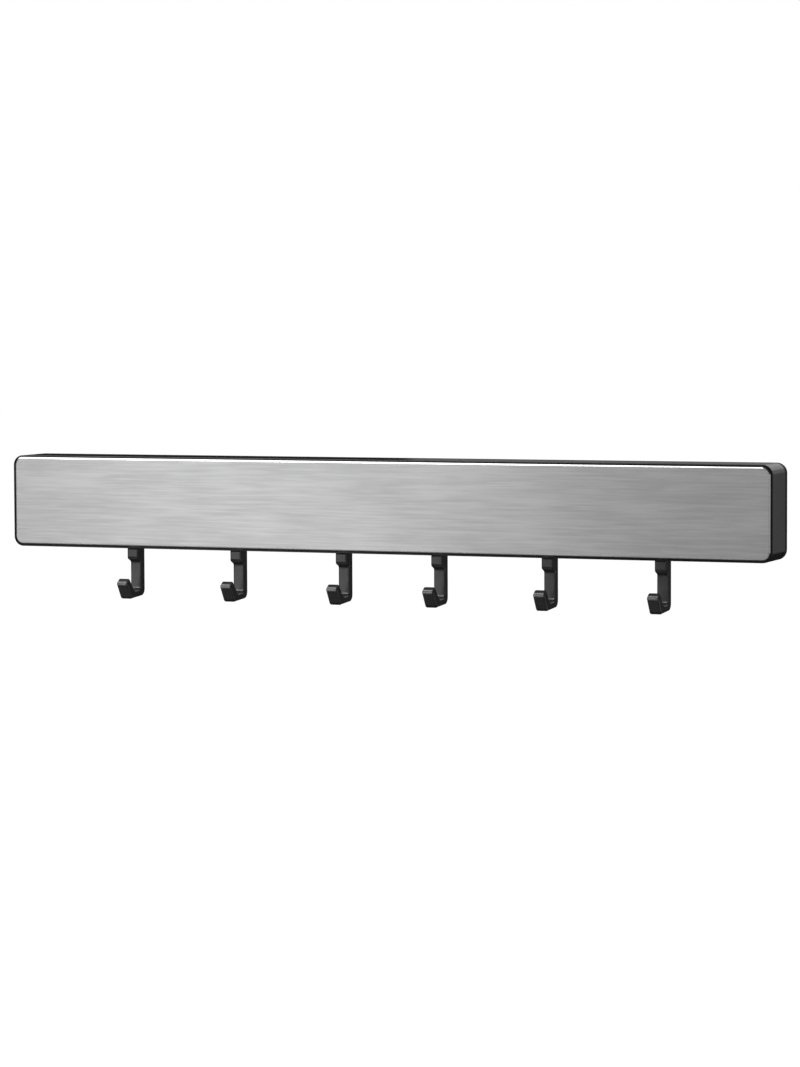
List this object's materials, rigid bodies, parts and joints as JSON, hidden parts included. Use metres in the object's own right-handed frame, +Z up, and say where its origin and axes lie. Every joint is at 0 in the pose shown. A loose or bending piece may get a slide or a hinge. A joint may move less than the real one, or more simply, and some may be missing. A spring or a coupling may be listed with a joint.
{
  "type": "wall hook rack",
  "caption": "Long brushed steel wall rail on a black moulded housing, with slim J hooks that hang from a slot along its underside.",
  "frame": {"origin": "middle of the centre mounting pad's back face, which lies on the wall", "axes": "+X along the rail to the right as seen from the front, +Y into the wall, +Z up"},
  "size_m": [0.4, 0.0278, 0.0725],
  "materials": {
    "brushed_steel": "brushed along the rail, satin",
    "black_plastic": "satin black moulding",
    "hook_plastic": "satin black moulding",
    "aluminium": "mill finish extrusion",
    "zinc_sheet": "zinc-plated sheet steel",
    "screw_steel": "zinc-plated screw",
    "tape_foam": "acrylic foam tape",
    "pad_foam": "matt foam"
  },
  "bodies": {
    "rack": {"face_plate": "brushed_steel", "face_tape_upper": "tape_foam", "face_tape_lower": "tape_foam", "housing": "black_plastic", "hook_rail": "aluminium", "end_stop_left": "black_plastic", "end_stop_right": "black_plastic", "back_plate": "zinc_sheet", "mounting_pad_left": "pad_foam", "mounting_pad_centre": "pad_foam", "mounting_pad_right": "pad_foam", "plate_screw_1": "screw_steel", "plate_screw_2": "screw_steel", "plate_screw_3": "screw_steel", "plate_screw_4": "screw_steel", "plate_screw_5": "screw_steel", "plate_screw_6": "screw_steel", "rail_screw_1": "screw_steel", "rail_screw_2": "screw_steel", "rail_screw_3": "screw_steel", "rail_screw_4": "screw_steel"},
    "hook_1": {"hook_1": "hook_plastic"},
    "hook_2": {"hook_2": "hook_plastic"},
    "hook_3": {"hook_3": "hook_plastic"},
    "hook_4": {"hook_4": "hook_plastic"},
    "hook_5": {"hook_5": "hook_plastic"},
    "hook_6": {"hook_6": "hook_plastic"}
  },
  "joints": [
    {"name": "hook_1_slide", "type": "slide", "parent": "rack", "child": "hook_1", "axis": [1, 0, 0], "range_m": [-0.0178, 0.0241]},
    {"name": "hook_2_slide", "type": "slide", "parent": "rack", "child": "hook_2", "axis": [1, 0, 0], "range_m": [-0.0241, 0.0241]},
    {"name": "hook_3_slide", "type": "slide", "parent": "rack", "child": "hook_3", "axis": [1, 0, 0], "range_m": [-0.0241, 0.0208]},
    {"name": "hook_4_slide", "type": "slide", "parent": "rack", "child": "hook_4", "axis": [1, 0, 0], "range_m": [-0.0208, 0.0241]},
    {"name": "hook_5_slide", "type": "slide", "parent": "rack", "child": "hook_5", "axis": [1, 0, 0], "range_m": [-0.0241, 0.0241]},
    {"name": "hook_6_slide", "type": "slide", "parent": "rack", "child": "hook_6", "axis": [1, 0, 0], "range_m": [-0.0241, 0.0178]}
  ]
}
